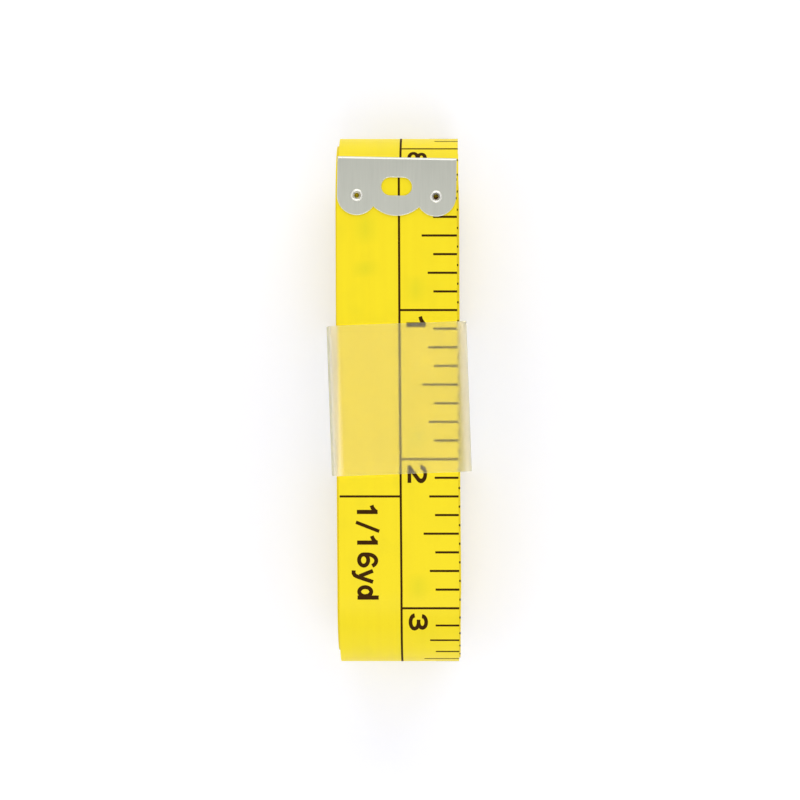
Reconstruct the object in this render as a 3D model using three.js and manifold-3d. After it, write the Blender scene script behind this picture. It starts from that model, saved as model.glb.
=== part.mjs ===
// A soft measuring tape, wound flat on itself and held in a frosted sleeve.
// Millimetres, +Z up. The winding lies along Y, with its zero end on top at +Y,
// and the origin is under the middle of the sleeve.
import * as THREE from "three";
import { mergeVertices } from "three/addons/utils/BufferGeometryUtils.js";
import Module from "manifold-3d";

const wasm = await Module();
wasm.setup();

// Tape
const tapeWidth = 20.3;
const tapeThickness = 0.22;

// Winding: straight runs, two to a turn, joined by half-round folds
const runCount = 35;
const runLength = 64.8;
const turnGap = 0.42; // clear air between neighbouring turns
const innerFoldRadius = 1.9; // of the centreline at the innermost fold
const innerRunLength = 56; // the part of the innermost run that the tape reaches
const runShift = 0.2; // top runs lie this far to -X and bottom runs to +X
const runSlant = 0.4; // sideways slant along one run
const turnDrift = 0.25; // slow sideways wander of the turns
const driftTurns = 6.5; // turns in one wander
const windingShift = -0.2; // the winding's middle in the sleeve, along X
const foldSteps = 12;
const runSteps = 2;

// Zero end: the stretch of tape past the flex line, which lifts
const flexLine = 14.4; // along Y
const flexGap = 0.3;
const zeroOverhang = 8.44; // the tab's tip past the start of the end fold
const zeroLift = THREE.MathUtils.degToRad(0.8); // the tab's thickness props the end up
const zeroTabTwist = THREE.MathUtils.degToRad(-1.1); // the tab sits slightly askew

// Tabs: a sheet of steel folded over the end of the tape
const tabInset = 0.1; // from the tape's edge
const tabLength = 9.9;
const leafThickness = 0.28;
const tabClearance = 0.04; // between the tape and each leaf
const tapeEndRoom = 0.25; // from the tape's end to where the sheet starts to fold
const sideLobeRadius = 3.35;
const middleLobeRadius = 5.7;
const slotLength = 5.2;
const slotWidth = 3.05;
const slotFromTip = 4.95; // to the slot's middle
const foldArcSteps = 8;
const outlineArcSteps = 10;

// Eyelets: tubes through both leaves, flared at both ends
const eyeletBore = 1.24;
const eyeletWall = 0.18;
const eyeletClearance = 0.05;
const flangeWidth = 0.25; // past the tube
const flangeThickness = 0.14;
const eyeletSides = 16;

// Sleeve
const sleeveLength = 25.4;
const sleeveWall = 0.3;
const sleeveSideRoom = 1.25; // beside the tape, each side
const sleeveRoom = 0.4; // above and below the winding
const sleeveCornerRadius = 1; // inside
const sleeveTwist = THREE.MathUtils.degToRad(2.05);
const sleeveShift = 0.05; // along Y
const cornerSteps = 6;

// Sizes that follow from these
const pitch = tapeThickness + turnGap;
const halfRun = runLength / 2;
const flexShare = (halfRun - flexLine) / runLength; // of the top run, at the flex line
const outerRadius = innerFoldRadius + ((runCount - 1) * pitch) / 2;
const windingHeight = 2 * outerRadius + tapeThickness;
const windingMiddle = sleeveWall + sleeveRoom + windingHeight / 2;
const tapeTop = windingMiddle + windingHeight / 2;
const leafInside = tapeThickness / 2 + tabClearance;
const leafOutside = leafInside + leafThickness;
const tapeEndInset = leafOutside + tapeEndRoom;
const tabWidth = tapeWidth - 2 * tabInset;
const eyeletAcross = tabWidth / 2 - sideLobeRadius;
const eyeletFromTip = tabLength - sideLobeRadius;
const eyeletHoleRadius = eyeletBore / 2 + eyeletWall + eyeletClearance;

const coatedCloth = { color: 0xf4da2a, roughness: 0.45, metalness: 0 };
const steel = { color: 0xb9bab0, roughness: 0.38, metalness: 1 };
const frostedPlastic = { color: 0xeee8d8, roughness: 0.5, metalness: 0, transparent: true, opacity: 0.4 };

function mesh(name, geometry, finish) {
  const part = new THREE.Mesh(geometry, new THREE.MeshStandardMaterial(finish));
  part.name = name;
  return part;
}

function solid(geometry) {
  const bare = geometry.index ? geometry.toNonIndexed() : geometry.clone();
  bare.deleteAttribute("normal");
  bare.deleteAttribute("uv");
  const merged = mergeVertices(bare, 1e-4);
  const vertProperties = new Float32Array(merged.attributes.position.array);
  const triVerts = new Uint32Array(merged.index.array);
  return new wasm.Manifold(new wasm.Mesh({ numProp: 3, vertProperties, triVerts }));
}

function geometryOf(body) {
  const { vertProperties, triVerts } = body.getMesh();
  const geometry = new THREE.BufferGeometry();
  geometry.setAttribute("position", new THREE.BufferAttribute(vertProperties, 3));
  geometry.setIndex(new THREE.BufferAttribute(triVerts, 1));
  geometry.computeVertexNormals();
  return geometry;
}

function slab(shape, low, high, curveSegments = outlineArcSteps) {
  const options = { depth: high - low, bevelEnabled: false, curveSegments };
  return new THREE.ExtrudeGeometry(shape, options).translate(0, 0, low);
}

// The tape's place along X at a share of a straight run
function acrossRun(run, share) {
  const side = sideOf(run);
  return side * (runSlant * (share - 0.5) - runShift) + drift((run + share) / 2);
}

// 1 for a top run, along which the tape travels towards -Y, and -1 for a bottom run
function sideOf(run) {
  return run % 2 ? -1 : 1;
}

function drift(turn) {
  return turnDrift * Math.sin((2 * Math.PI * turn) / driftTurns);
}

// The tape's centreline about the winding's middle, from the flex line along the top run
// and round the folds to the inner end, which lies in the middle of the hollow
function windingPath() {
  const stations = [];
  for (let run = 0; run < runCount; run++) {
    const side = sideOf(run);
    const radius = outerRadius - (run * pitch) / 2;
    const isLast = run === runCount - 1;
    const first = run === 0 ? flexShare + flexGap / 2 / runLength : 0;
    const last = isLast ? innerRunLength / runLength : 1;
    const sink = isLast ? radius - pitch / 4 : 0;
    for (let step = 0; step <= runSteps; step++) {
      const share = first + ((last - first) * step) / runSteps;
      stations.push({
        x: acrossRun(run, share),
        y: side * (halfRun - share * runLength),
        z: side * (radius - (sink * step) / runSteps),
      });
    }
    for (let step = 1; step < foldSteps && !isLast; step++) {
      const share = step / foldSteps;
      const angle = Math.PI * share;
      const reach = radius - (pitch / 2) * share;
      stations.push({
        x: side * (runSlant / 2 - runShift * Math.cos(angle)) + drift((run + 1) / 2),
        y: -side * (halfRun + reach * Math.sin(angle)),
        z: side * reach * Math.cos(angle),
      });
    }
  }
  return stations;
}

// The way of travel and the outward normal at each station, in the YZ plane
function framed(stations) {
  return stations.map((here, index) => {
    const before = stations[Math.max(index - 1, 0)];
    const after = stations[Math.min(index + 1, stations.length - 1)];
    const along = new THREE.Vector2(after.y - before.y, after.z - before.z).normalize();
    return { ...here, along, out: new THREE.Vector2(along.y, -along.x) };
  });
}

function strip(stations) {
  const corners = [];
  const faces = [];
  for (const { x, y, z, out } of stations) {
    for (const [edge, face] of [[-1, 1], [1, 1], [1, -1], [-1, -1]]) {
      const offset = (face * tapeThickness) / 2;
      corners.push(x + (edge * tapeWidth) / 2, y + offset * out.x, z + offset * out.y);
    }
  }
  for (let base = 0; base < corners.length / 3 - 4; base += 4) {
    for (let side = 0; side < 4; side++) {
      const a = base + side;
      const b = base + ((side + 1) % 4);
      faces.push(a, a + 4, b, b, a + 4, b + 4);
    }
  }
  const end = corners.length / 3 - 4;
  faces.push(0, 1, 2, 0, 2, 3, end, end + 2, end + 1, end, end + 3, end + 2);
  const geometry = new THREE.BufferGeometry();
  geometry.setAttribute("position", new THREE.Float32BufferAttribute(corners, 3));
  geometry.setIndex(faces);
  return geometry;
}

// The least clear distance between stretches of tape that are half a turn or more apart,
// measured from the stations and the points midway between them
function leastGap(stations) {
  const halfTurn = runSteps + foldSteps;
  const points = stations.map(({ y, z }) => new THREE.Vector3(0, y, z));
  const segment = new THREE.Line3();
  const middle = new THREE.Vector3();
  const nearest = new THREE.Vector3();
  let least = Infinity;
  for (let here = 0; here < points.length - 1; here++) {
    middle.lerpVectors(points[here], points[here + 1], 0.5);
    for (let other = 0; other < points.length - 1; other++) {
      if (Math.abs(here - other) < halfTurn) continue;
      segment.set(points[other], points[other + 1]);
      for (const point of [points[here], middle]) {
        segment.closestPointToPoint(point, true, nearest);
        least = Math.min(least, point.distanceTo(nearest) - tapeThickness);
      }
    }
  }
  return least;
}

function lengthOf(stations) {
  let total = 0;
  for (let index = 1; index < stations.length; index++) {
    const a = stations[index - 1];
    const b = stations[index];
    total += Math.hypot(b.x - a.x, b.y - a.y, b.z - a.z);
  }
  return total;
}

// A tab's slot, in its own frame: the tip at the origin, the leaves towards -Y
function slot() {
  const path = new THREE.Path();
  const reach = (slotLength - slotWidth) / 2;
  path.absarc(reach, -slotFromTip, slotWidth / 2, -Math.PI / 2, Math.PI / 2);
  path.absarc(-reach, -slotFromTip, slotWidth / 2, Math.PI / 2, (3 * Math.PI) / 2);
  return path;
}

function eyeletHoles() {
  return [-1, 1].map((side) =>
    new THREE.Path().absarc(side * eyeletAcross, -eyeletFromTip, eyeletHoleRadius, 0, 2 * Math.PI),
  );
}

// The tab's outline: straight sides, and three lobes whose side ones ring the eyelets
function tabOutline() {
  const apart = new THREE.Vector2(eyeletAcross, sideLobeRadius - middleLobeRadius);
  const distance = apart.length();
  const squares = distance ** 2 + middleLobeRadius ** 2 - sideLobeRadius ** 2;
  const foot = squares / (2 * distance);
  const rise = Math.sqrt(middleLobeRadius ** 2 - foot ** 2);
  const unit = apart.clone().divideScalar(distance);
  const cusp = new THREE.Vector2(foot * unit.x + rise * unit.y, foot * unit.y - rise * unit.x);
  const middleAngle = Math.atan2(cusp.y, cusp.x);
  const sideAngle = Math.atan2(cusp.y - apart.y, cusp.x - apart.x);
  const middleLobe = -tabLength + middleLobeRadius;
  const shape = new THREE.Shape();
  shape.moveTo(-tabWidth / 2, 0);
  shape.lineTo(-tabWidth / 2, -eyeletFromTip);
  shape.absarc(-eyeletAcross, -eyeletFromTip, sideLobeRadius, Math.PI, Math.PI - sideAngle);
  shape.absarc(0, middleLobe, middleLobeRadius, Math.PI - middleAngle, 2 * Math.PI + middleAngle);
  shape.absarc(eyeletAcross, -eyeletFromTip, sideLobeRadius, sideAngle, 0);
  shape.lineTo(tabWidth / 2, 0);
  return shape;
}

// The folded sheet seen along X: two leaves joined by a half-round fold at the tip
function foldedSheet() {
  const shape = new THREE.Shape();
  shape.moveTo(-tabLength, -leafOutside);
  shape.lineTo(-leafOutside, -leafOutside);
  shape.absarc(-leafOutside, 0, leafOutside, -Math.PI / 2, Math.PI / 2);
  shape.lineTo(-tabLength, leafOutside);
  shape.lineTo(-tabLength, leafInside);
  shape.absarc(-leafOutside, 0, leafInside, Math.PI / 2, -Math.PI / 2, true);
  shape.lineTo(-tabLength, -leafInside);
  const alongX = new THREE.Matrix4().makeBasis(
    new THREE.Vector3(0, 1, 0),
    new THREE.Vector3(0, 0, 1),
    new THREE.Vector3(1, 0, 0),
  );
  return slab(shape, -tabWidth / 2, tabWidth / 2, foldArcSteps).applyMatrix4(alongX);
}

function tabGeometry() {
  const outline = tabOutline();
  outline.holes = [slot(), ...eyeletHoles()];
  const blank = slab(outline, -2 * leafOutside, 2 * leafOutside);
  return geometryOf(solid(foldedSheet()).intersect(solid(blank)));
}

function eyeletGeometry() {
  const inner = eyeletBore / 2;
  const outer = inner + eyeletWall;
  const flange = outer + flangeWidth;
  const seat = leafOutside + tabClearance;
  const end = seat + flangeThickness;
  const profile = [
    [inner, -end + flangeThickness / 2],
    [outer, -end],
    [flange, -seat - flangeThickness / 2],
    [flange, -seat],
    [outer, -seat],
    [outer, seat],
    [flange, seat],
    [flange, seat + flangeThickness / 2],
    [outer, end],
    [inner, end - flangeThickness / 2],
    [inner, -end + flangeThickness / 2],
  ].map(([radius, height]) => new THREE.Vector2(radius, height));
  return new THREE.LatheGeometry(profile, eyeletSides).rotateX(Math.PI / 2);
}

// A tab with its two eyelets, with the tip at the group's origin
function tab(name) {
  const group = new THREE.Group();
  group.add(mesh(name, tabGeometry(), steel));
  for (const [word, side] of [["left", -1], ["right", 1]]) {
    const eyelet = mesh(`${name}_eyelet_${word}`, eyeletGeometry(), steel);
    eyelet.position.set(side * eyeletAcross, -eyeletFromTip, 0);
    group.add(eyelet);
  }
  return group;
}

// The tape with a tab's eyelet holes punched through it. It shows whole in the slot.
function punched(tape, tabGroup) {
  tabGroup.updateMatrix();
  const cutters = eyeletHoles().map((hole) => {
    const shape = new THREE.Shape(hole.getPoints(outlineArcSteps));
    return solid(slab(shape, -leafInside, leafInside).applyMatrix4(tabGroup.matrix));
  });
  return geometryOf(cutters.reduce((body, cutter) => body.subtract(cutter), solid(tape)));
}

function winding() {
  const group = new THREE.Group();
  const stations = framed(windingPath());
  const end = stations[stations.length - 1];
  const innerTab = tab("inner_tab");
  const travel = new THREE.Vector3(0, end.along.x, end.along.y);
  const outward = new THREE.Vector3(0, end.out.x, end.out.y);
  const across = new THREE.Vector3().crossVectors(travel, outward);
  innerTab.quaternion.setFromRotationMatrix(new THREE.Matrix4().makeBasis(across, travel, outward));
  innerTab.position.set(end.x, end.y, end.z).addScaledVector(travel, tapeEndInset);
  group.add(mesh("tape_winding", punched(strip(stations), innerTab), coatedCloth), innerTab);
  group.position.set(windingShift, 0, windingMiddle);
  const length = lengthOf(stations) + halfRun + zeroOverhang - flexLine - tapeEndInset;
  const gap = leastGap(stations);
  console.log(`tape ${length.toFixed(1)} long, least gap between turns ${gap.toFixed(3)}`);
  return group;
}

// The flat stretch from the flex line to the tab, about the flex line on the tape's top face
function zeroEnd() {
  const group = new THREE.Group();
  const tip = halfRun + zeroOverhang - flexLine;
  const tapeLength = tip - tapeEndInset - flexGap / 2;
  const tape = new THREE.BoxGeometry(tapeWidth, tapeLength, tapeThickness);
  tape.translate(0, flexGap / 2 + tapeLength / 2, -tapeThickness / 2);
  const zeroTab = tab("zero_tab");
  zeroTab.position.set(0, tip, -tapeThickness / 2);
  zeroTab.rotation.z = zeroTabTwist;
  group.add(mesh("tape_zero_end", punched(tape, zeroTab), coatedCloth), zeroTab);
  group.position.set(windingShift + acrossRun(0, flexShare), flexLine, tapeTop);
  group.rotation.x = zeroLift;
  return group;
}

function roundedRectangle(path, width, height, radius) {
  const x = width / 2 - radius;
  const y = height / 2 - radius;
  path.absarc(x, -y, radius, -Math.PI / 2, 0);
  path.absarc(x, y, radius, 0, Math.PI / 2);
  path.absarc(-x, y, radius, Math.PI / 2, Math.PI);
  path.absarc(-x, -y, radius, Math.PI, (3 * Math.PI) / 2);
  return path;
}

function sleeve() {
  const width = tapeWidth + 2 * sleeveSideRoom;
  const height = windingHeight + 2 * sleeveRoom;
  const outside = [width + 2 * sleeveWall, height + 2 * sleeveWall, sleeveCornerRadius + sleeveWall];
  const section = roundedRectangle(new THREE.Shape(), ...outside);
  section.holes.push(roundedRectangle(new THREE.Path(), width, height, sleeveCornerRadius));
  const geometry = slab(section, -sleeveLength / 2, sleeveLength / 2, cornerSteps);
  const part = mesh("sleeve", geometry.rotateX(Math.PI / 2), frostedPlastic);
  part.position.set(0, sleeveShift, windingMiddle);
  part.rotation.z = sleeveTwist;
  return part;
}

const tapeMeasure = new THREE.Group();
tapeMeasure.add(winding(), zeroEnd(), sleeve());

export default tapeMeasure;
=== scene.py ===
import math

import bmesh
import bpy
import numpy
from mathutils import Matrix, Vector


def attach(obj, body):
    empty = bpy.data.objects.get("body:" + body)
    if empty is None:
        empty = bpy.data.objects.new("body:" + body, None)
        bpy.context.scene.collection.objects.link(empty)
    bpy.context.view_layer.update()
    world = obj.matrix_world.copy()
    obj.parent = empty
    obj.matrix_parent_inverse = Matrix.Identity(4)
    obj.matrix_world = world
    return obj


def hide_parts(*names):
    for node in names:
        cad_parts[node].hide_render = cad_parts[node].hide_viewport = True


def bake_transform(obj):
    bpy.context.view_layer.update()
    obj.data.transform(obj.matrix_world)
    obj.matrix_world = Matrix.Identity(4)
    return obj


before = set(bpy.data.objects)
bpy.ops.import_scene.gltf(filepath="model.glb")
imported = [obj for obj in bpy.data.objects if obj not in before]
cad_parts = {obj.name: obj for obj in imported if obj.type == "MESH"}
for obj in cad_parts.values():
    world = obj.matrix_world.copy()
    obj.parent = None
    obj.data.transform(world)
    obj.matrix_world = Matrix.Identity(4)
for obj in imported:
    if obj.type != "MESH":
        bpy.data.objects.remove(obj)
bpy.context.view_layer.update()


# The wound tape: ten feet of woven glass cloth, coated with yellow vinyl and slit to width.
# It is folded flat on itself in thirty-five straight runs joined by half-round folds,
# and only the sleeve round its middle keeps it from springing open.
mm = 0.001  # sizes here are in millimetres, and the scene is in metres
tape_width = 20.3
tape_half = 0.23  # half the thickness
slit_edge = 0.05  # the slightly crushed corner that slitting leaves
run_count = 35
run_length = 64.8
half_run = run_length / 2
pitch = 0.64  # from one turn to the next
inner_fold = 1.9
outer_fold = inner_fold + (run_count - 1) * pitch / 2
inner_run = 56.0  # the part of the last run that the tape reaches
run_shift = 0.2  # how far a run stands to the side, left and right by turns
run_slant = 0.4  # how far it wanders across from one fold to the next
turn_drift = 0.23  # how far the turns wander to the side: a quick wave, less a slow one
slow_drift = 0.14
drift_turns = 3.4  # turns in one quick wave
winding_shift = -0.2  # across
winding_middle = 13.59  # above the table
fold_step = 0.8
least_fold_steps = 14
run_steps = 10
run_wave = 0.1  # how far a loose run leaves the straight
wave_length = 43.0
wave_lag = 0.07  # of a wave, from one run to the next
zero_reach = 8.44  # of the zero tab past the end of the straight run
zero_tip = half_run + zero_reach
zero_lift = math.radians(0.8)  # the loose end's rise off the turn below
zero_slant = 0.0045  # its drift to the side, for each millimetre along
zero_step = 0.4
tape_end = 0.68  # from a tab's tip to the end of the tape
flex_line = 14.4  # along Y, where the zero end lifts
flex_share = (half_run - flex_line) / run_length
flex_ease = 3.0  # to each side of the flex line, where the rise begins
printed_zero = 0.46  # from the zero tab's tip to the start of the scale
split_at = 25.57  # from the printed zero; the zero end's own piece ends at the inch-one line
row_margin = 0.02  # the tape's rows of points keep this far from its ends
hard_edge = 35  # degrees; faces that meet at more than this show an edge


def side_of(run):
    """1 for a run on top, which goes towards the lower fold, and -1 for one beneath."""
    return -1 if run % 2 else 1


def drift(turn):
    """How far a turn has wandered to the side."""
    quick = 1 - math.cos(2 * math.pi * turn / drift_turns)
    slow = 1 - math.cos(math.pi * turn / drift_turns)
    return turn_drift * quick - slow_drift * slow


def across_run(run, share):
    """The tape's place across, at a share of a run's length."""
    return side_of(run) * (run_slant * (share - 0.5) - run_shift) + drift((run + share) / 2)


def lift_at(y):
    """How far the loose zero end stands off the turn below."""
    past = y - flex_line
    if past < -flex_ease:
        return 0.0
    if past > flex_ease:
        return past * math.tan(zero_lift)
    return (past + flex_ease) ** 2 / (4 * flex_ease) * math.tan(zero_lift)


def wave_at(run, y):
    """How far a run inside the winding leaves the straight."""
    taper = 1 - (y / half_run) ** 2
    return run_wave * taper * math.sin(2 * math.pi * (y / wave_length + wave_lag * run))


def tape_centreline():
    """Points along the middle of the cloth, from the zero end inwards."""
    points = []
    y = zero_tip - tape_end
    while y > flex_line:
        x = across_run(0, flex_share) - zero_slant * (y - flex_line)
        points.append((x, y, outer_fold + lift_at(y)))
        y -= zero_step
    for run in range(run_count):
        side = side_of(run)
        radius = outer_fold - run * pitch / 2
        last_run = run == run_count - 1
        first = flex_share if run == 0 else 0.0
        last = inner_run / run_length if last_run else 1.0
        sink = radius - pitch / 4 if last_run else 0.0
        for step in range(run_steps + 1):
            share = first + (last - first) * step / run_steps
            y = side * (half_run - share * run_length)
            z = side * (radius - sink * step / run_steps)
            z += lift_at(y) if run == 0 else 0.0 if last_run else wave_at(run, y)
            points.append((across_run(run, share), y, z))
        fold_steps = 0 if last_run else max(least_fold_steps, round(math.pi * radius / fold_step))
        for step in range(1, fold_steps):
            share = step / fold_steps
            angle = math.pi * share
            reach = radius - pitch / 2 * share
            x = side * (run_slant / 2 - run_shift * math.cos(angle)) + drift((run + 1) / 2)
            y = -side * (half_run + reach * math.sin(angle))
            points.append((x, y, side * reach * math.cos(angle)))
    return numpy.array(points) + numpy.array([winding_shift, 0, winding_middle])


centreline = tape_centreline()
steps_along = numpy.linalg.norm(numpy.diff(centreline, axis=0), axis=1)
along = numpy.concatenate([[0], numpy.cumsum(steps_along)]) + tape_end - printed_zero
travel = numpy.gradient(centreline, axis=0)
travel /= numpy.linalg.norm(travel[:, 1:], axis=1, keepdims=True)
tape_start = along[0]
tape_finish = along[-1]


def on_tape(measure, across, height):
    """The point at a place on the tape, in metres; height is from the cloth's middle."""
    x, y, z = (numpy.interp(measure, along, centreline[:, axis]) for axis in range(3))
    outward_y = numpy.interp(measure, along, travel[:, 2])
    outward_z = -numpy.interp(measure, along, travel[:, 1])
    return Vector((x + across, y + height * outward_y, z + height * outward_z)) * mm


def loft(mesh, rings, closed=False):
    """Joins rings of points into a solid: a tube with both ends capped, or a closed loop."""
    rows = [[mesh.verts.new(point) for point in ring] for ring in rings]
    count = len(rows[0])
    for row, following in zip(rows, rows[1:] + ([rows[0]] if closed else [])):
        for i in range(count):
            j = (i + 1) % count
            mesh.faces.new((row[i], following[i], following[j], row[j]))
    if not closed:
        mesh.faces.new(rows[0])
        mesh.faces.new(reversed(rows[-1]))
    return rows


def make_piece(name, mesh, sharp_angle=hard_edge):
    """An object from a mesh, smooth but for its hard edges."""
    bmesh.ops.recalc_face_normals(mesh, faces=mesh.faces)
    data = bpy.data.meshes.new(name)
    mesh.to_mesh(data)
    mesh.free()
    for face in data.polygons:
        face.use_smooth = True
    data.set_sharp_from_angle(angle=math.radians(sharp_angle))
    piece = bpy.data.objects.new(name, data)
    bpy.context.scene.collection.objects.link(piece)
    return piece


def tape_ring(measure):
    """The corners of the tape's section at a place along it."""
    edge = tape_width / 2
    inset = edge - slit_edge
    shoulder = tape_half - slit_edge
    corners = [
        (-edge, -shoulder), (-inset, -tape_half), (inset, -tape_half), (edge, -shoulder),
        (edge, shoulder), (inset, tape_half), (-inset, tape_half), (-edge, shoulder),
    ]
    return [on_tape(measure, across, height) for across, height in corners]


def tape_piece(name, first, last):
    """A stretch of tape, each point with its place on the flat cloth."""
    between = [place for place in along if first + row_margin < place < last - row_margin]
    places = [first, *between, last]
    sides = (-1, -1, 1, 1, 1, 1, -1, -1)  # of a ring's corners
    mesh = bmesh.new()
    flat = mesh.verts.layers.float_vector.new("flat")
    for measure, row in zip(places, loft(mesh, [tape_ring(place) for place in places])):
        for side, vertex in zip(sides, row):
            vertex[flat] = (side * tape_width / 2, measure, 0)
    return make_piece(name, mesh)


def linear(code):
    """A colour from its sRGB hex code."""
    shares = [int(code[i:i + 2], 16) / 255 for i in (0, 2, 4)]
    return (*(s / 12.92 if s <= 0.04045 else ((s + 0.055) / 1.055) ** 2.4 for s in shares), 1.0)


def add_node(tree, kind, sockets, **settings):
    """Adds a node. sockets gives each input, by name or number, its value or what feeds it."""
    node = tree.nodes.new(kind)
    for setting, value in settings.items():
        setattr(node, setting, value)
    for socket, value in sockets.items():
        if isinstance(value, bpy.types.NodeSocket):
            tree.links.new(value, node.inputs[socket])
        else:
            node.inputs[socket].default_value = value
    return node


def new_finish(name):
    """A new material, its nodes and its main shader."""
    finish = bpy.data.materials.new(name)
    finish.use_nodes = True
    return finish, finish.node_tree, finish.node_tree.nodes["Principled BSDF"]


# Vinyl coated on woven glass cloth: a satin, even yellow. The lengthwise yarns show as faint
# streaks, thin coating and the back's print as soft duller patches, and the weave as a very
# shallow quilting.
yarn_spacing = 0.7  # real yarns are about half of this, too fine to show
yarn_wave = 2 * math.pi / yarn_spacing
yarn_rise = 0.02
streak_width = 1.4
streak_length = 70.0
patch_width = 4.375
patch_length = 7.0
coated_cloth, tree, shader = new_finish("vinyl_coated_glass_cloth")
cloth_place = add_node(tree, "ShaderNodeAttribute", {}, attribute_name="flat").outputs["Vector"]
streak_place = add_node(
    tree, "ShaderNodeVectorMath",
    {0: cloth_place, 1: (1 / streak_width, 1 / streak_length, 1)}, operation="MULTIPLY"
)
streaks = add_node(
    tree, "ShaderNodeTexNoise", {"Vector": streak_place.outputs[0], "Scale": 1.0, "Detail": 3.0}
)
patch_place = add_node(
    tree, "ShaderNodeVectorMath",
    {0: cloth_place, 1: (1 / patch_width, 1 / patch_length, 1)}, operation="MULTIPLY"
)
patches = add_node(
    tree, "ShaderNodeTexNoise", {"Vector": patch_place.outputs[0], "Scale": 1.0, "Detail": 2.0}
)
patch_share = add_node(
    tree, "ShaderNodeMapRange",
    {"Value": patches.outputs["Fac"], "From Min": 0.5, "From Max": 0.75, "To Max": 0.25}
)
streaked = add_node(
    tree, "ShaderNodeMix",
    {0: streaks.outputs["Fac"], 6: linear("F4DB00"), 7: linear("FBE508")}, data_type="RGBA"
)
patched = add_node(
    tree, "ShaderNodeMix",
    {0: patch_share.outputs[0], 6: streaked.outputs[2], 7: linear("E4D20C")}, data_type="RGBA"
)
back_print = add_node(tree, "ShaderNodeAttribute", {}, attribute_name="back_print").outputs["Fac"]
shaded = add_node(
    tree, "ShaderNodeMix", {0: back_print, 6: patched.outputs[2], 7: linear("E9D908")}, data_type="RGBA"
)
tree.links.new(shaded.outputs[2], shader.inputs["Base Color"])
yarn_place = add_node(
    tree, "ShaderNodeVectorMath", {0: cloth_place, 1: (yarn_wave, yarn_wave, 1)}, operation="MULTIPLY"
)
yarns = add_node(tree, "ShaderNodeSeparateXYZ", {0: yarn_place.outputs[0]})
warp = add_node(tree, "ShaderNodeMath", {0: yarns.outputs["X"]}, operation="SINE")
weft = add_node(tree, "ShaderNodeMath", {0: yarns.outputs["Y"]}, operation="SINE")
weave = add_node(tree, "ShaderNodeMath", {0: warp.outputs[0], 1: weft.outputs[0]}, operation="ADD")
quilting = add_node(
    tree, "ShaderNodeBump", {"Height": weave.outputs[0], "Strength": 0.05, "Distance": yarn_rise * mm}
)
tree.links.new(quilting.outputs[0], shader.inputs["Normal"])
gloss = add_node(
    tree, "ShaderNodeMapRange", {"Value": streaks.outputs["Fac"], "To Min": 0.42, "To Max": 0.54}
)
tree.links.new(gloss.outputs[0], shader.inputs["Roughness"])
shader.inputs["IOR"].default_value = 1.53
shader.inputs["Specular IOR Level"].default_value = 0.3

wound_tape = tape_piece("wound_tape", split_at, tape_finish)
wound_tape.data.materials.append(coated_cloth)


# The zero end: the same tape from the inch-one line to the zero tab. It lies loose on the
# turn below and can be lifted, so it is a piece of its own; it rises a little past the flex line.
zero_stretch = tape_piece("zero_stretch", tape_start, split_at)
zero_stretch.data.materials.append(coated_cloth)


# The printed scale: one dark ink, screen printed on the coated cloth. Eighths of an inch and
# inch numbers run along one side of a line down the middle, and sixteenths of a yard along
# the other. The back has the same marks, counted from the tape's other end.
ink_height = 0.018
ink_lap = 0.004  # where one stroke of a figure lies over another
ink_sunk = 0.05
ink_step = 0.4
mitre_limit = 0.5  # keeps the point of a sharp corner short
arc_steps = 18
ring_points = 28
line_width = 0.36
middle_line = 0.38  # across, from the tape's middle
tick_end = tape_width / 2
tick_starts = {8: middle_line, 4: 4.2, 2: 5.2, 1: 6.15}  # by eighths
printed_inches = 17.6
known_inches = [0, 3.5, 8, 8.6, 12, 18]
known_places = [0.15, 88.35, 204.0, 218.7, 304.2, 455.4]  # where those inches fall along the tape
back_inches = 1.3
back_numbered = (1, 2, 3)  # inches whose number on the back shows
back_yard_mark = 0.84  # inches from the zero end
back_yard_text = "5/16"
back_stretch = 0.62
tape_inches = 120
yard_inches = 36
yard_line_start = -9.95
yard_base = -7.05
yard_height = 3.5
yard_gap = 1.39
number_base = middle_line + 1.2
number_height = 3.26
number_stretch = 1.34
number_gap = 0.95
stroke_share = 0.188  # of the figure's height
stem_share = 0.2
stroke_stretch = 0.65  # how far strokes widen along a stretched figure, as a share of its stretch


def at_inch(inches):
    """Where a mark falls along the tape: the cloth has drawn in a little where it lies slack
    at the zero end, and stretched where it is pulled round the folds."""
    return float(numpy.interp(inches, known_inches, known_places))


def arc(x, y, wide, high, first, last, count=arc_steps):
    """Points along an arc, between two angles in degrees."""
    turns = [math.radians(first + (last - first) * step / count) for step in range(count + 1)]
    return [(x + wide * math.cos(turn), y + high * math.sin(turn)) for turn in turns]


def ring(x, y, wide, high):
    """Points round a whole circle or oval."""
    return arc(x, y, wide, high, 0, 360, ring_points)[:-1]


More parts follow.
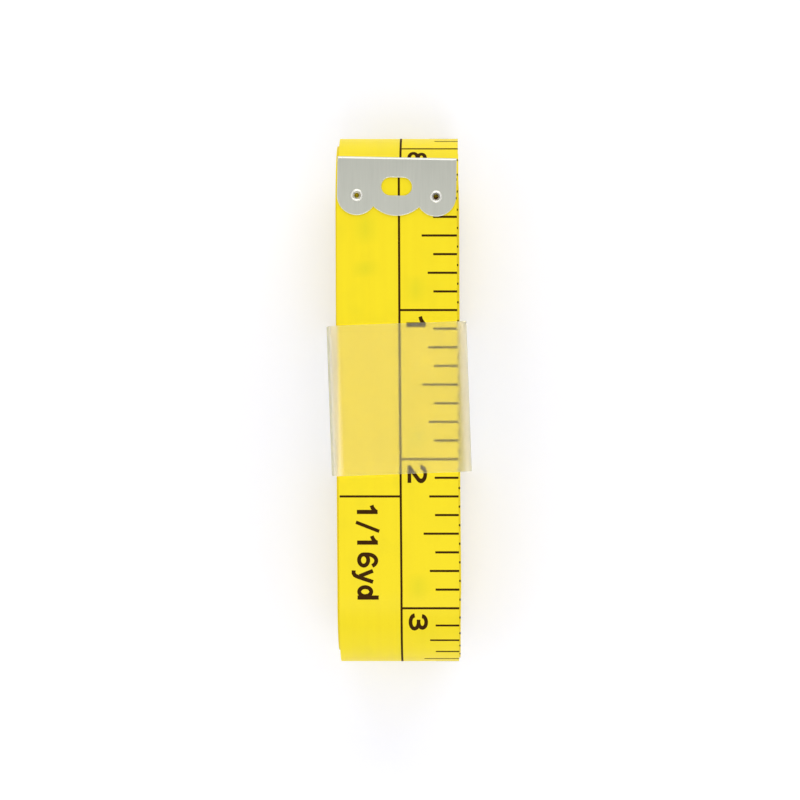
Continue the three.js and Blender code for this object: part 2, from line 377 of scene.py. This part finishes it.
# Each figure's strokes on a height of 1, as points and a share of the height for the width
figures = {
    "0": [(ring(0.365, 0.5, 0.275, 0.414), stroke_share)],
    "1": [
        ([(0.352, 0), (0.352, 1)], stem_share),
        ([(0.034, 0.71), (0.154, 0.755), (0.254, 0.83), (0.334, 0.92)], 0.185),
    ],
    "2": [
        (arc(0.355, 0.69, 0.27, 0.224, 188, -42) + [(0.13, 0.12)], stroke_share),
        ([(0.02, 0.086), (0.7, 0.086)], stroke_share),
    ],
    "3": [
        (arc(0.36, 0.71, 0.25, 0.198, 186, -90) + [(0.25, 0.512)], stroke_share),
        ([(0.25, 0.512)] + arc(0.36, 0.303, 0.285, 0.21, 90, -183), stroke_share),
    ],
    "4": [
        ([(0.5, 0), (0.5, 1)], stem_share),
        ([(0.46, 0.95), (0.09, 0.36)], stroke_share),
        ([(0.01, 0.31), (0.73, 0.31)], stroke_share),
    ],
    "5": [
        ([(0.13, 0.914), (0.65, 0.914)], stroke_share),
        ([(0.2, 0.95), (0.13, 0.47)], stroke_share),
        (arc(0.35, 0.306, 0.275, 0.22, 142, -178), stroke_share),
    ],
    "6": [
        (ring(0.37, 0.306, 0.27, 0.22), stroke_share),
        (arc(0.4, 0.5, 0.3, 0.414, 32, 180) + [(0.1, 0.31)], stroke_share),
    ],
    "7": [
        ([(0.03, 0.914), (0.7, 0.914)], stroke_share),
        ([(0.64, 0.9), (0.45, 0.62), (0.34, 0.34), (0.3, 0)], stroke_share),
    ],
    "8": [
        (ring(0.365, 0.73, 0.225, 0.184), stroke_share),
        (ring(0.365, 0.302, 0.275, 0.216), stroke_share),
    ],
    "9": [
        (ring(0.36, 0.694, 0.27, 0.22), stroke_share),
        (arc(0.33, 0.5, 0.3, 0.414, -148, 0) + [(0.63, 0.69)], stroke_share),
    ],
    "/": [([(0.0, -0.05), (0.44, 1.07)], 0.165)],
    "y": [
        ([(0.62, 0.75), (0.37, 0.02), (0.3, -0.12), (0.2, -0.185), (0.06, -0.18)], stroke_share),
        ([(0.08, 0.75), (0.34, 0.1)], stroke_share),
    ],
    "d": [(ring(0.295, 0.37, 0.215, 0.29), stroke_share), ([(0.578, 0), (0.578, 1.02)], stem_share)],
}

# The room before a figure and the step from it to the next, as shares of the height
usual_room = (0.08, 0.9)
figure_room = {
    "1": (0.086, 0.83), "/": (0.104, 0.65), "6": (0.08, 0.87), "y": (0.02, 0.78), "d": (0.03, 0.8),
}


def add_stroke(mesh, points, width, face, closed=False, lap=0, spread=1.0, rise=ink_height):
    """A line of ink along points given as (measure, across), on the front face (1) or the back (-1).
    In a mesh that has a back_print layer it is a smudge, which fades to its sides and ends."""
    path = []
    for start, end in zip(points, points[1:] + (points[:1] if closed else [])):
        count = max(1, math.ceil(abs(end[0] - start[0]) / ink_step))
        path += [Vector(start).lerp(Vector(end), step / count) for step in range(count)]
    if not closed:
        path.append(Vector(points[-1]))
    rings = []
    places = []
    for i, point in enumerate(path):
        before = path[i - 1] if closed or i else point
        after = path[(i + 1) % len(path)] if closed or i + 1 < len(path) else point
        way_in = (point - before).normalized() if point != before else (after - point).normalized()
        way_out = (after - point).normalized() if after != point else way_in
        middle = (way_in + way_out).normalized()
        reach = width / 2 / max(middle.dot(way_in), mitre_limit)
        aside = Vector((-middle.y * spread, middle.x)) * reach
        high = face * (tape_half + rise + lap * ink_lap)
        low = face * (tape_half - ink_sunk)
        left = point + aside
        right = point - aside
        corners = [(left, high), (point, high), (right, high), (right, low), (left, low)]
        rings.append([on_tape(*corner, height) for corner, height in corners])
        places.append([corner for corner, height in corners])
    rows = loft(mesh, rings, closed)
    darkness = mesh.verts.layers.float.get("back_print")
    if darkness:
        flat = mesh.verts.layers.float_vector["flat"]
        for i, (row, row_places) in enumerate(zip(rows, places)):
            row[1][darkness] = math.sin(math.pi * i / (len(rows) - 1))
            for vertex, (measure, across) in zip(row, row_places):
                vertex[flat] = (across, measure, 0)


def add_figures(mesh, text, measure, base, height, stretch, way, face):
    """Figures that read along the tape, away from its zero end (way 1) or towards it (way -1)."""
    cursor = -figure_room.get(text[0], usual_room)[0]
    spread = 1 + stroke_stretch * (stretch - 1)
    for letter in text:
        room, width = figure_room.get(letter, usual_room)
        for lap, (points, share) in enumerate(figures[letter]):
            placed = [
                (measure + way * (cursor + room + x) * height * stretch, base + y * height)
                for x, y in points
            ]
            add_stroke(mesh, placed, share * height, face, len(points) == ring_points, lap, spread)
        cursor += width


def back_figures(first, last):
    """The back's figures on a stretch of tape: text, measure, base, height and stretch."""
    found = [
        (str(tape_inches - inch), at_inch(inch) - number_gap, number_base, number_height, back_stretch)
        for inch in back_numbered
    ]
    found.append((back_yard_text, at_inch(back_yard_mark) - yard_gap, yard_base, yard_height, 1.0))
    return [figure for figure in found if first < figure[1] < last]


def add_smudges(mesh, text, measure, base, height, stretch):
    """A soft shade on the front for each number on the back."""
    cursor = 0.0
    for number in text.split("/"):
        width = sum(figure_room.get(letter, usual_room)[1] for letter in number)
        reaches = (cursor, cursor + width)
        ends = [(measure - reach * height * stretch, base + height / 2) for reach in reaches]
        add_stroke(mesh, ends, smudge_width * height, 1, rise=through_height)
        cursor += width + figure_room["/"][1]


def print_scale(name, first, last, faces):
    """The print on a stretch of tape; faces has each face and how many inches of it are printed."""
    mesh = bmesh.new()
    for face, inches in faces:
        end = min(last, at_inch(inches))
        add_stroke(mesh, [(first, middle_line), (end, middle_line)], line_width, face, lap=1)
        for eighth in range(1, math.floor(inches * 8)):
            measure = at_inch(eighth / 8)
            if not first < measure < end:
                continue
            start = next(start for size, start in tick_starts.items() if eighth % size == 0)
            add_stroke(mesh, [(measure, start), (measure, tick_end)], line_width, face)
            if eighth % 8 == 0 and face > 0:
                text = str(eighth // 8)
                place = measure + number_gap
                add_figures(mesh, text, place, number_base, number_height, number_stretch, 1, face)
        if face < 0:
            measure = at_inch(back_yard_mark)
            add_stroke(mesh, [(measure, yard_line_start), (measure, middle_line)], line_width, face)
            for figure in back_figures(first, end):
                add_figures(mesh, *figure, -1, face)
            continue
        for sixteenth in range(1, math.floor(inches / yard_inches * 16) + 1):
            measure = at_inch(sixteenth * yard_inches / 16)
            if first < measure < end:
                add_stroke(mesh, [(measure, yard_line_start), (measure, middle_line)], line_width, face)
                share = math.gcd(sixteenth, 16)
                text = f"{sixteenth // share}/{16 // share}yd"
                add_figures(mesh, text, measure + yard_gap, yard_base, yard_height, 1.0, 1, face)
    return make_piece(name, mesh)


# Screen printing ink: near black with a brown cast, dull, and a little uneven in its cover.
cover_size = 0.5
printing_ink, tree, shader = new_finish("screen_printed_ink")
where = add_node(tree, "ShaderNodeTexCoord", {}).outputs["Object"]
cover = add_node(
    tree, "ShaderNodeTexNoise", {"Vector": where, "Scale": 1 / (cover_size * mm), "Detail": 2.0}
)
tone = add_node(
    tree, "ShaderNodeMix",
    {0: cover.outputs["Fac"], 6: linear("311A02"), 7: linear("462B07")}, data_type="RGBA"
)
tree.links.new(tone.outputs[2], shader.inputs["Base Color"])
shader.inputs["Roughness"].default_value = 0.6
shader.inputs["Specular IOR Level"].default_value = 0.05

wound_scale = print_scale("wound_scale", split_at, at_inch(printed_inches), [(1, printed_inches)])
zero_scale = print_scale("zero_scale", tape_start, split_at, [(1, printed_inches), (-1, back_inches)])
for scale in (wound_scale, zero_scale):
    scale.data.materials.append(printing_ink)

# The back's numbers show through the cloth, each as a soft smudge that is darkest in its middle.
through_height = 0.004
smudge_width = 1.5  # as a share of the figure's height
shown_through = []
stretches = [("zero_show_through", tape_start, split_at), ("wound_show_through", split_at, tape_finish)]
for name, first, last in stretches:
    mesh = bmesh.new()
    mesh.verts.layers.float_vector.new("flat")
    mesh.verts.layers.float.new("back_print")
    for figure in back_figures(first, last):
        add_smudges(mesh, *figure)
    piece = make_piece(name, mesh)
    piece.data.materials.append(coated_cloth)
    shown_through.append(piece)
zero_through, wound_through = shown_through


# The two tabs: nickel-plated spring steel, stamped flat with three lobes, a slot and two holes
# in each leaf, then folded over the end of the tape. The eyelets clamp both leaves to it.
tab_width = 20.1
tab_length = 9.9
leaf_thickness = 0.24
leaf_gap = 0.015  # between a leaf and the cloth
leaf_middle = tape_half + leaf_gap + leaf_thickness / 2
leaf_outside = leaf_middle + leaf_thickness / 2
side_lobe = 3.35
middle_lobe = 5.7
slot_length = 5.2
slot_width = 3.05
slot_from_tip = 4.95
eyelet_across = tab_width / 2 - side_lobe
eyelet_from_tip = tab_length - side_lobe
eyelet_hole = 0.82
rolled_edge = 0.1
lobe_steps = 28
fold_bends = 24
weld_distance = 1e-4
cut_distance = 1e-5
tab_hard_edge = 12  # degrees
zero_twist = math.radians(-1.1)  # the zero tab sits a little askew
pivot_rise = 0.11  # of the zero end's pivot above the cloth's middle


def lobed_edge():
    """The leaf's free edge from left to right, as (across, distance from the tip)."""
    apart = Vector((eyelet_across, side_lobe - middle_lobe))
    foot = (apart.length_squared + middle_lobe ** 2 - side_lobe ** 2) / (2 * apart.length)
    rise = math.sqrt(middle_lobe ** 2 - foot ** 2)
    ahead = apart.normalized()
    cusp = Vector((foot * ahead.x + rise * ahead.y, foot * ahead.y - rise * ahead.x))
    middle_turn = math.degrees(math.atan2(-cusp.y, cusp.x))
    lobe_turn = math.degrees(math.atan2(-(cusp - apart).y, (cusp - apart).x))
    left = arc(-eyelet_across, eyelet_from_tip, side_lobe, side_lobe, 180, 180 - lobe_turn, lobe_steps)
    centre = tab_length - middle_lobe
    middle = arc(0, centre, middle_lobe, middle_lobe, 180 - middle_turn, middle_turn, lobe_steps)
    right = arc(eyelet_across, eyelet_from_tip, side_lobe, side_lobe, lobe_turn, 0, lobe_steps)
    return left + middle[1:] + right[1:]


def tab_plate(name, stand):
    """A tab: the blank is stamped flat, then folded round the end of the tape."""
    bend = math.pi / 2 * leaf_middle
    spare = bend - leaf_outside  # length along the sheet less distance from the tip
    edge = [(across, from_tip + spare) for across, from_tip in lobed_edge()]
    outlines = [edge + [(-across, -far) for across, far in edge]]
    slot_reach = (slot_length - slot_width) / 2
    slot_round = slot_width / 2
    slot_at = slot_from_tip + spare
    slot = arc(slot_reach, slot_at, slot_round, slot_round, -90, 90)
    slot += arc(-slot_reach, slot_at, slot_round, slot_round, 90, 270)
    holes = [slot]
    for side in (-1, 1):
        holes.append(ring(side * eyelet_across, eyelet_from_tip + spare, eyelet_hole, eyelet_hole))
    for hole in holes:
        outlines += [hole, [(across, -far) for across, far in hole]]

    blank = bpy.data.curves.new(name, "CURVE")
    blank.dimensions = "2D"
    blank.fill_mode = "BOTH"
    blank.extrude = leaf_thickness / 2 - rolled_edge
    blank.bevel_depth = rolled_edge
    blank.bevel_resolution = 2
    blank.offset = -rolled_edge
    for outline in outlines:
        spline = blank.splines.new("POLY")
        spline.points.add(len(outline) - 1)
        for point, (across, far) in zip(spline.points, outline):
            point.co = (across, far, 0, 1)
        spline.use_cyclic_u = True
    stamped = bpy.data.objects.new(name, blank)
    bpy.context.scene.collection.objects.link(stamped)
    sheet = bpy.data.meshes.new_from_object(stamped.evaluated_get(bpy.context.evaluated_depsgraph_get()))
    bpy.data.objects.remove(stamped)
    bpy.data.curves.remove(blank)

    mesh = bmesh.new()
    mesh.from_mesh(sheet)
    bpy.data.meshes.remove(sheet)
    bmesh.ops.remove_doubles(mesh, verts=mesh.verts, dist=weld_distance)
    for step in range(fold_bends + 1):
        cut = (0, bend * (2 * step / fold_bends - 1), 0)
        everything = [*mesh.verts, *mesh.edges, *mesh.faces]
        bmesh.ops.bisect_plane(
            mesh, geom=everything, plane_co=cut, plane_no=(0, 1, 0), dist=cut_distance
        )
    for vertex in mesh.verts:
        across, far, height = vertex.co
        radius = leaf_middle + height
        turn = max(-math.pi / 2, min(math.pi / 2, far / leaf_middle))
        straight = max(abs(far) - bend, 0)
        back = radius * math.cos(turn) - leaf_outside - straight
        vertex.co = stand @ (Vector((across, back, radius * math.sin(turn))) * mm)
    return make_piece(name, mesh, tab_hard_edge)


# Nickel plate on brushed steel: a warm grey metal with fine lines along the tape, which
# blur its reflections into soft streaks; the round fold and edges catch the light.
brush_width = 0.12
brush_length = 6.0
brush_depth = 0.01
brushed_nickel, tree, shader = new_finish("brushed_nickel_plated_steel")
where = add_node(tree, "ShaderNodeTexCoord", {}).outputs["Object"]
brush_scale = (1 / (brush_width * mm), 1 / (brush_length * mm), 1 / (brush_width * mm))
brush_place = add_node(tree, "ShaderNodeVectorMath", {0: where, 1: brush_scale}, operation="MULTIPLY")
brushing = add_node(
    tree, "ShaderNodeTexNoise", {"Vector": brush_place.outputs[0], "Scale": 1.0, "Detail": 4.0}
)
tone = add_node(
    tree, "ShaderNodeMix",
    {0: brushing.outputs["Fac"], 6: linear("CDCFC4"), 7: linear("DADBD0")}, data_type="RGBA"
)
tree.links.new(tone.outputs[2], shader.inputs["Base Color"])
dulling = add_node(
    tree, "ShaderNodeMapRange", {"Value": brushing.outputs["Fac"], "To Min": 0.3, "To Max": 0.46}
)
tree.links.new(dulling.outputs[0], shader.inputs["Roughness"])
scratches = add_node(
    tree, "ShaderNodeBump",
    {"Height": brushing.outputs["Fac"], "Strength": 0.12, "Distance": brush_depth * mm}
)
tree.links.new(scratches.outputs[0], shader.inputs["Normal"])
shader.inputs["Metallic"].default_value = 1.0

flex_across = winding_shift + across_run(0, flex_share)
flex_at = Vector((flex_across, flex_line, winding_middle + outer_fold + pivot_rise))
zero_stand = (
    Matrix.Translation(flex_at * mm)
    @ Matrix.Rotation(zero_lift, 4, "X")
    @ Matrix.Translation(Vector((0, zero_tip - flex_line, -pivot_rise)) * mm)
    @ Matrix.Rotation(zero_twist, 4, "Z")
)
end_way = Vector((0, travel[-1][1], travel[-1][2]))
end_outward = Vector((0, end_way.z, -end_way.y))
end_across = end_way.cross(end_outward)
inner_stand = Matrix.Translation((Vector(centreline[-1]) + tape_end * end_way) * mm) @ Matrix(
    (end_across, end_way, end_outward)
).transposed().to_4x4()

zero_tab = tab_plate("zero_tab_plate", zero_stand)
inner_tab = tab_plate("inner_tab_plate", inner_stand)
for plate, body, node in ((zero_tab, "zero_end", "zero_tab"), (inner_tab, "winding", "inner_tab")):
    plate.data.materials.append(brushed_nickel)
    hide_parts(node)
    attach(plate, body)


# The four eyelets: short tubes of nickel-plated steel, pushed through the holes in a tab and
# the tape between its leaves, with both ends rolled over to clamp them together.
bore = 0.62  # at its mouth
waist = 0.34
throat_flare = 1.5  # above 1, the throat opens faster towards its mouth
tube = 0.79
rim = 1.05
rim_rise = 0.24
rim_round = 1.5  # above 1, the rolled rim is narrower on top
rim_lip = 0.03  # the rim's edge, turned in and down to the leaf
seat_gap = 0.005
rim_points = 10
throat_points = 6
eyelet_steps = 40
eyelet_hard_edge = 50  # degrees
punch_reach = 1.0


def eyelet(name, stand, side):
    """An eyelet turned from its profile, with both rims alike."""
    seat = leaf_outside + seat_gap
    foot = seat - rim_lip
    crown_middle = (bore + rim) / 2
    crown_half = (rim - bore) / 2
    crown = [
        (crown_middle - crown_half * math.cos(turn), foot + rim_rise * math.sin(turn) ** rim_round)
        for turn in (math.pi * step / rim_points for step in range(rim_points + 1))
    ]
    throat = [
        (waist + (bore - waist) * share ** throat_flare, foot * share)
        for share in (step / throat_points for step in range(1, throat_points))
    ]
    upper = throat + crown + [(rim - rim_lip, seat), (tube, seat)]
    profile = upper + [(radius, -height) for radius, height in reversed(upper)]
    middle = Vector((side * eyelet_across, -eyelet_from_tip, 0))
    rings = []
    for step in range(eyelet_steps):
        turn = 2 * math.pi * step / eyelet_steps
        rings.append([
            stand @ ((middle + Vector((radius * math.cos(turn), radius * math.sin(turn), height))) * mm)
            for radius, height in profile
        ])
    mesh = bmesh.new()
    loft(mesh, rings, closed=True)
    return make_piece(name, mesh, eyelet_hard_edge)


def punch(tape, stand):
    """Cuts a tab's two eyelet holes through the tape."""
    for side in (-1, 1):
        mesh = bmesh.new()
        circle = ring(side * eyelet_across, -eyelet_from_tip, eyelet_hole, eyelet_hole)
        depths = (-punch_reach, punch_reach)
        loft(mesh, [[stand @ (Vector((x, y, z)) * mm) for x, y in circle] for z in depths])
        cutter = make_piece("eyelet_punch", mesh)
        cut = tape.modifiers.new("eyelet_hole", "BOOLEAN")
        cut.object = cutter
        cut.operation = "DIFFERENCE"
        cut.solver = "EXACT"
        cut_tape = tape.evaluated_get(bpy.context.evaluated_depsgraph_get())
        punched = bpy.data.meshes.new_from_object(cut_tape)
        tape.modifiers.clear()
        punched.set_sharp_from_angle(angle=math.radians(hard_edge))
        whole = tape.data
        tape.data = punched
        bpy.data.meshes.remove(whole)
        bpy.data.objects.remove(cutter)


# Nickel plate as drawn: the rolled rims are smoother than the brushed leaves, and painted a paler metal
# than them, a painted highlight on the rims.
draw_mark = 0.3
drawn_nickel, tree, shader = new_finish("drawn_nickel_plated_steel")
where = add_node(tree, "ShaderNodeTexCoord", {}).outputs["Object"]
marks = add_node(
    tree, "ShaderNodeTexNoise", {"Vector": where, "Scale": 1 / (draw_mark * mm), "Detail": 2.0}
)
polish = add_node(
    tree, "ShaderNodeMapRange", {"Value": marks.outputs["Fac"], "To Min": 0.3, "To Max": 0.4}
)
tree.links.new(polish.outputs[0], shader.inputs["Roughness"])
# Painted highlight: the rims' metal is painted paler than the leaves' so that the rings look bright.
shader.inputs["Base Color"].default_value = linear("F4F3EC")
shader.inputs["Metallic"].default_value = 1.0

for tab, stand, body in (("zero_tab", zero_stand, "zero_end"), ("inner_tab", inner_stand, "winding")):
    for word, side in (("left", -1), ("right", 1)):
        piece = eyelet(f"{tab}_rolled_eyelet_{word}", stand, side)
        piece.data.materials.append(drawn_nickel)
        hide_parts(f"{tab}_eyelet_{word}")
        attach(piece, body)

punch(zero_stretch, zero_stand)
punch(wound_tape, inner_stand)
for piece in (wound_tape, wound_scale, wound_through):
    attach(piece, "winding")
for piece in (zero_stretch, zero_scale, zero_through):
    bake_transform(piece)
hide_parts("tape_winding")
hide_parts("tape_zero_end")


# The sleeve: a short length of frosted plastic tube, heat-sealed and cut square, that slides
# over the wound tape. It keeps creases along its corners, the sharpest at the upper left.
sleeve_length = 25.4
sleeve_wall = 0.3
sleeve_twist = math.radians(2.05)
sleeve_shift = 0.05
sleeve_corners = [  # across, up from the middle, rounding
    (-11.5, -13.44, 1.3), (11.5, -13.44, 1.3), (11.75, 0.0, 30.0),
    (11.55, 13.44, 1.3), (-11.35, 13.44, 0.4), (-12.0, 7.0, 8.0),
]
corner_steps = 8
wall_steps = 12
wall_spacing = 2.5  # between points round the flat walls
cut_edge = 0.05
crease_rounding = 10.0  # a corner rounder than this has no crease
sleeve_hard_edge = 40  # degrees


def rounded_outline(corners):
    """Straight walls between the corners, with each corner rounded."""
    points = []
    for i, (x, z, rounding) in enumerate(corners):
        here = Vector((x, z))
        to_before = (Vector(corners[i - 1][:2]) - here).normalized()
        to_after = (Vector(corners[(i + 1) % len(corners)][:2]) - here).normalized()
        half = to_before.angle(to_after) / 2
        middle = here + (to_before + to_after).normalized() * rounding / math.sin(half)
        start = here + to_before * rounding / math.tan(half) - middle
        end = here + to_after * rounding / math.tan(half) - middle
        sweep = start.angle_signed(end)
        for step in range(corner_steps + 1):
            points.append(middle + Matrix.Rotation(-sweep * step / corner_steps, 2) @ start)
    return points


def sleeve_piece(name):
    """The film's section carried round the sleeve's outline."""
    outline = rounded_outline(sleeve_corners)
    dense = []
    for start, end in zip(outline, outline[1:] + outline[:1]):
        count = max(1, round((end - start).length / wall_spacing))
        dense += [start.lerp(end, step / count) for step in range(count)]
    half = sleeve_length / 2
    wall = sleeve_wall / 2
    between = [half * (2 * step / wall_steps - 1) for step in range(1, wall_steps)]
    places = [cut_edge - half, *between, half - cut_edge]
    section = [(y, wall) for y in places]
    section += [(half, wall - cut_edge), (half, cut_edge - wall)]
    section += [(y, -wall) for y in reversed(places)]
    section += [(-half, cut_edge - wall), (-half, wall - cut_edge)]
    stand = Matrix.Translation(Vector((0, sleeve_shift, winding_middle)) * mm)
    stand = stand @ Matrix.Rotation(sleeve_twist, 4, "Z")
    rings = []
    for i, point in enumerate(dense):
        way = (dense[(i + 1) % len(dense)] - dense[i - 1]).normalized()
        outward = Vector((way.y, -way.x))
        rings.append([
            stand @ (Vector((point.x + out * outward.x, y, point.y + out * outward.y)) * mm)
            for y, out in section
        ])
    creases = [Vector((x, z)) for x, z, rounding in sleeve_corners if rounding < crease_rounding]
    mesh = bmesh.new()
    from_crease = mesh.verts.layers.float.new("from_crease")
    for row, point in zip(loft(mesh, rings, closed=True), dense):
        for vertex in row:
            vertex[from_crease] = min((point - crease).length for crease in creases)
    return make_piece(name, mesh, sleeve_hard_edge)


# Frosted polypropylene film: clear with a matt skin that blurs what lies under it and veils it
# with a milky cast. It is whiter where it is seen edge on. Near its creases it is painted whiter
# and less clear: painted light on the side walls and a painted highlight along the bends.
mottle_size = 4.0
painted_light_start = 0.8  # from a crease to where its painted brightening begins to fade
painted_light_end = 1.6
frosted_film, tree, shader = new_finish("frosted_polypropylene_film")
where = add_node(tree, "ShaderNodeTexCoord", {}).outputs["Object"]
mottle = add_node(
    tree, "ShaderNodeTexNoise", {"Vector": where, "Scale": 1 / (mottle_size * mm), "Detail": 3.0}
)
frosting = add_node(
    tree, "ShaderNodeMapRange", {"Value": mottle.outputs["Fac"], "To Min": 0.6, "To Max": 0.66}
)
tree.links.new(frosting.outputs[0], shader.inputs["Roughness"])
# Painted light: near the creases the film is painted whiter and less clear, for the side walls' light and
# the bends' highlight.
from_crease = add_node(tree, "ShaderNodeAttribute", {}, attribute_name="from_crease").outputs["Fac"]
away_from_painted_light = add_node(
    tree, "ShaderNodeMapRange", {"Value": from_crease, "From Min": painted_light_start, "From Max": painted_light_end}
).outputs[0]
tint = add_node(
    tree, "ShaderNodeMix", {0: away_from_painted_light, 6: linear("FBF7E8"), 7: linear("EFEED3")}, data_type="RGBA"
)
tree.links.new(tint.outputs[2], shader.inputs["Base Color"])
clear = add_node(tree, "ShaderNodeMapRange", {"Value": away_from_painted_light, "To Min": 0.77, "To Max": 0.965})
edge_on = add_node(tree, "ShaderNodeLayerWeight", {"Blend": 0.35}).outputs["Facing"]
face_on = add_node(tree, "ShaderNodeMapRange", {"Value": edge_on, "To Min": 1.0, "To Max": 0.6})
let_through = add_node(
    tree, "ShaderNodeMath", {0: clear.outputs[0], 1: face_on.outputs[0]}, operation="MULTIPLY"
)
tree.links.new(let_through.outputs[0], shader.inputs["Transmission Weight"])
shader.inputs["IOR"].default_value = 1.49

sleeve_film = sleeve_piece("sleeve_film")
sleeve_film.data.materials.append(frosted_film)
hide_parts("sleeve")
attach(sleeve_film, "sleeve")
sleeve_film.visible_shadow = False  # film this thin scatters the lamps' light onward and casts no shade


# The table and the light: a broad sheet of white paper in a pale room. A large soft lamp stands
# beyond the zero end, two small ones soften its shadows, and the walls beyond the lower fold
# are the brightest.
paper_size = 12.0  # metres
paper_squares = 8
ceiling_light = 0.58
near_wall_light = 1.55  # beyond the lower fold
far_wall_light = 1.05
wall_top = 0.6  # how high the walls reach, as the sine of the angle
lamps = [  # name, place in metres, width, height, watts
    ("soft_lamp", (0.1, 0.75, 0.45), 1.0, 0.6, 2.8),
    ("fill_lamp", (0.04, -0.22, 0.48), 0.25, 0.25, 0.5),
    ("side_lamp", (-0.28, -0.06, 0.44), 0.3, 0.3, 0.22),
]
paper_mesh = bmesh.new()
bmesh.ops.create_grid(
    paper_mesh, x_segments=paper_squares, y_segments=paper_squares, size=paper_size / 2
)
paper = make_piece("paper", paper_mesh)

# Uncoated white paper, lit from behind as well: dull and even, with soft pale shadows. The light
# from behind reaches only what looks straight at the paper or sees it in metal or film.
fibre_size = 0.8
glow_strength = 0.31
white_paper, tree, shader = new_finish("uncoated_white_paper")
where = add_node(tree, "ShaderNodeTexCoord", {}).outputs["Object"]
fibres = add_node(
    tree, "ShaderNodeTexNoise", {"Vector": where, "Scale": 1 / (fibre_size * mm), "Detail": 2.0}
)
tone = add_node(
    tree, "ShaderNodeMix",
    {0: fibres.outputs["Fac"], 6: linear("DDDEE8"), 7: linear("E1E2EC")}, data_type="RGBA"
)
tree.links.new(tone.outputs[2], shader.inputs["Base Color"])
shader.inputs["Roughness"].default_value = 0.9
shader.inputs["Specular IOR Level"].default_value = 0.0
ray = add_node(tree, "ShaderNodeLightPath", {})
looking = add_node(
    tree, "ShaderNodeMath",
    {0: ray.outputs["Is Camera Ray"], 1: ray.outputs["Is Glossy Ray"]}, operation="MAXIMUM"
)
seeing = add_node(
    tree, "ShaderNodeMath",
    {0: looking.outputs[0], 1: ray.outputs["Is Transmission Ray"]}, operation="MAXIMUM"
)
strength = add_node(
    tree, "ShaderNodeMath", {0: seeing.outputs[0], 1: glow_strength}, operation="MULTIPLY"
)
glow = add_node(
    tree, "ShaderNodeEmission", {"Color": linear("FFFFFF"), "Strength": strength.outputs[0]}
)
lit_paper = add_node(tree, "ShaderNodeAddShader", {0: shader.outputs[0], 1: glow.outputs[0]})
tree.links.new(lit_paper.outputs[0], tree.nodes["Material Output"].inputs["Surface"])
paper.data.materials.append(white_paper)

# The room's light comes mostly from its pale walls, and less from the ceiling.
room = bpy.data.worlds.new("pale_room")
room.use_nodes = True
tree = room.node_tree
way = add_node(tree, "ShaderNodeTexCoord", {}).outputs["Generated"]
toward = add_node(tree, "ShaderNodeSeparateXYZ", {0: way})
wall = add_node(
    tree, "ShaderNodeMapRange",
    {"Value": toward.outputs["Y"], "From Min": -1.0, "To Min": near_wall_light, "To Max": far_wall_light},
)
upward = toward.outputs["Z"]
level = add_node(
    tree, "ShaderNodeMapRange",
    {"Value": upward, "From Max": wall_top, "To Min": wall.outputs[0], "To Max": ceiling_light},
    interpolation_type="SMOOTHSTEP",
)
surroundings = tree.nodes["Background"]
surroundings.inputs["Color"].default_value = linear("FFFFFF")
tree.links.new(level.outputs[0], surroundings.inputs["Strength"])
bpy.context.scene.world = room
room.cycles.sampling_method = "NONE"  # light through the film is then counted once

for name, spot, width, height, watts in lamps:
    lamp = bpy.data.lights.new(name, "AREA")
    lamp.shape = "RECTANGLE"
    lamp.size = width
    lamp.size_y = height
    lamp.energy = watts
    lamp_stand = bpy.data.objects.new(name, lamp)
    lamp_stand.visible_camera = False
    lamp_stand.visible_transmission = False  # a lamp's light already reaches under the film
    lamp_stand.location = spot
    lamp_stand.rotation_euler = (-lamp_stand.location).to_track_quat("-Z", "Y").to_euler()
    bpy.context.scene.collection.objects.link(lamp_stand)

# A long lens looks straight down on the tape.
view_height = 0.5786  # metres above the top run
view_shift = -0.17  # along the tape
camera = bpy.data.cameras.new("camera")
camera.sensor_width = 36
camera.lens = 154
camera.clip_start = 0.01
camera_object = bpy.data.objects.new("camera", camera)
camera_object.location = (0, view_shift * mm, (winding_middle + outer_fold) * mm + view_height)
bpy.context.scene.collection.objects.link(camera_object)
bpy.context.scene.camera = camera_object
bpy.context.scene.view_settings.view_transform = "Standard"
